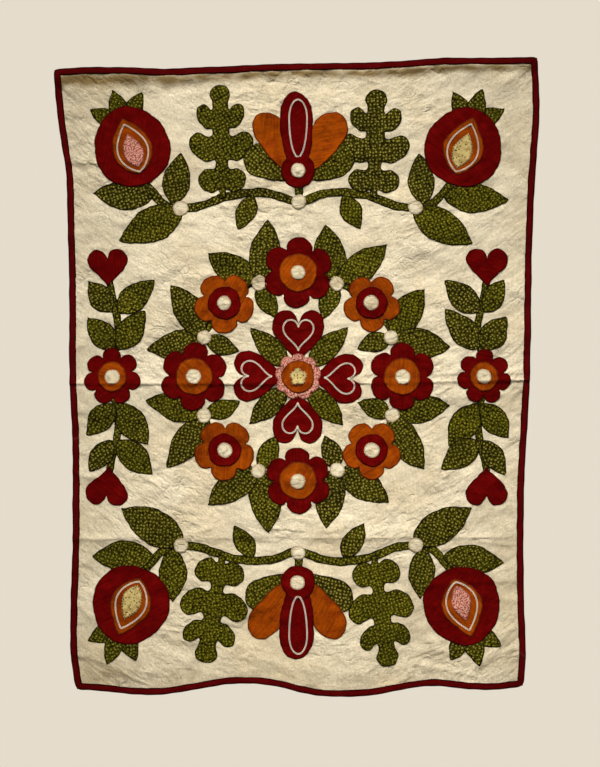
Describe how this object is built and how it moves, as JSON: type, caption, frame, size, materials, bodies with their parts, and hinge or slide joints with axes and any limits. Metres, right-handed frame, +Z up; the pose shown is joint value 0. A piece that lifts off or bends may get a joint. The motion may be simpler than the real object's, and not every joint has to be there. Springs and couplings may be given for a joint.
{
  "type": "applique wall quilt",
  "caption": "Upright bound quilt sheet, wider at the top, that hangs from its top edge with a packing fold across the middle and soft flutes at its wavy hem.",
  "frame": {"origin": "middle of the top edge, where the quilt is held", "axes": "+Z up, -Y out of the quilt's face towards the viewer, +X to the viewer's right"},
  "size_m": [0.7618, 0.0214, 1.002],
  "materials": {
    "cream_muslin": "matte unbleached cotton with applied cotton shapes",
    "maroon_cotton": "matte plain-weave cotton",
    "red_cotton": "matte oxblood plain-weave cotton",
    "orange_cotton": "matte burnt-orange plain-weave cotton",
    "green_print": "matte dark olive cotton with a small mottled print",
    "pink_print": "matte pink cotton with red specks",
    "yellow_print": "matte pale yellow cotton with dark flecks",
    "cream_thread": "matte cream cotton embroidery thread"
  },
  "bodies": {
    "root": {"quilt_body": "cream_muslin", "binding_top": "maroon_cotton", "binding_hem": "maroon_cotton", "binding_left_upper": "maroon_cotton", "binding_left_lower": "maroon_cotton", "binding_right_upper": "maroon_cotton", "binding_right_lower": "maroon_cotton"}
  },
  "joints": []
}
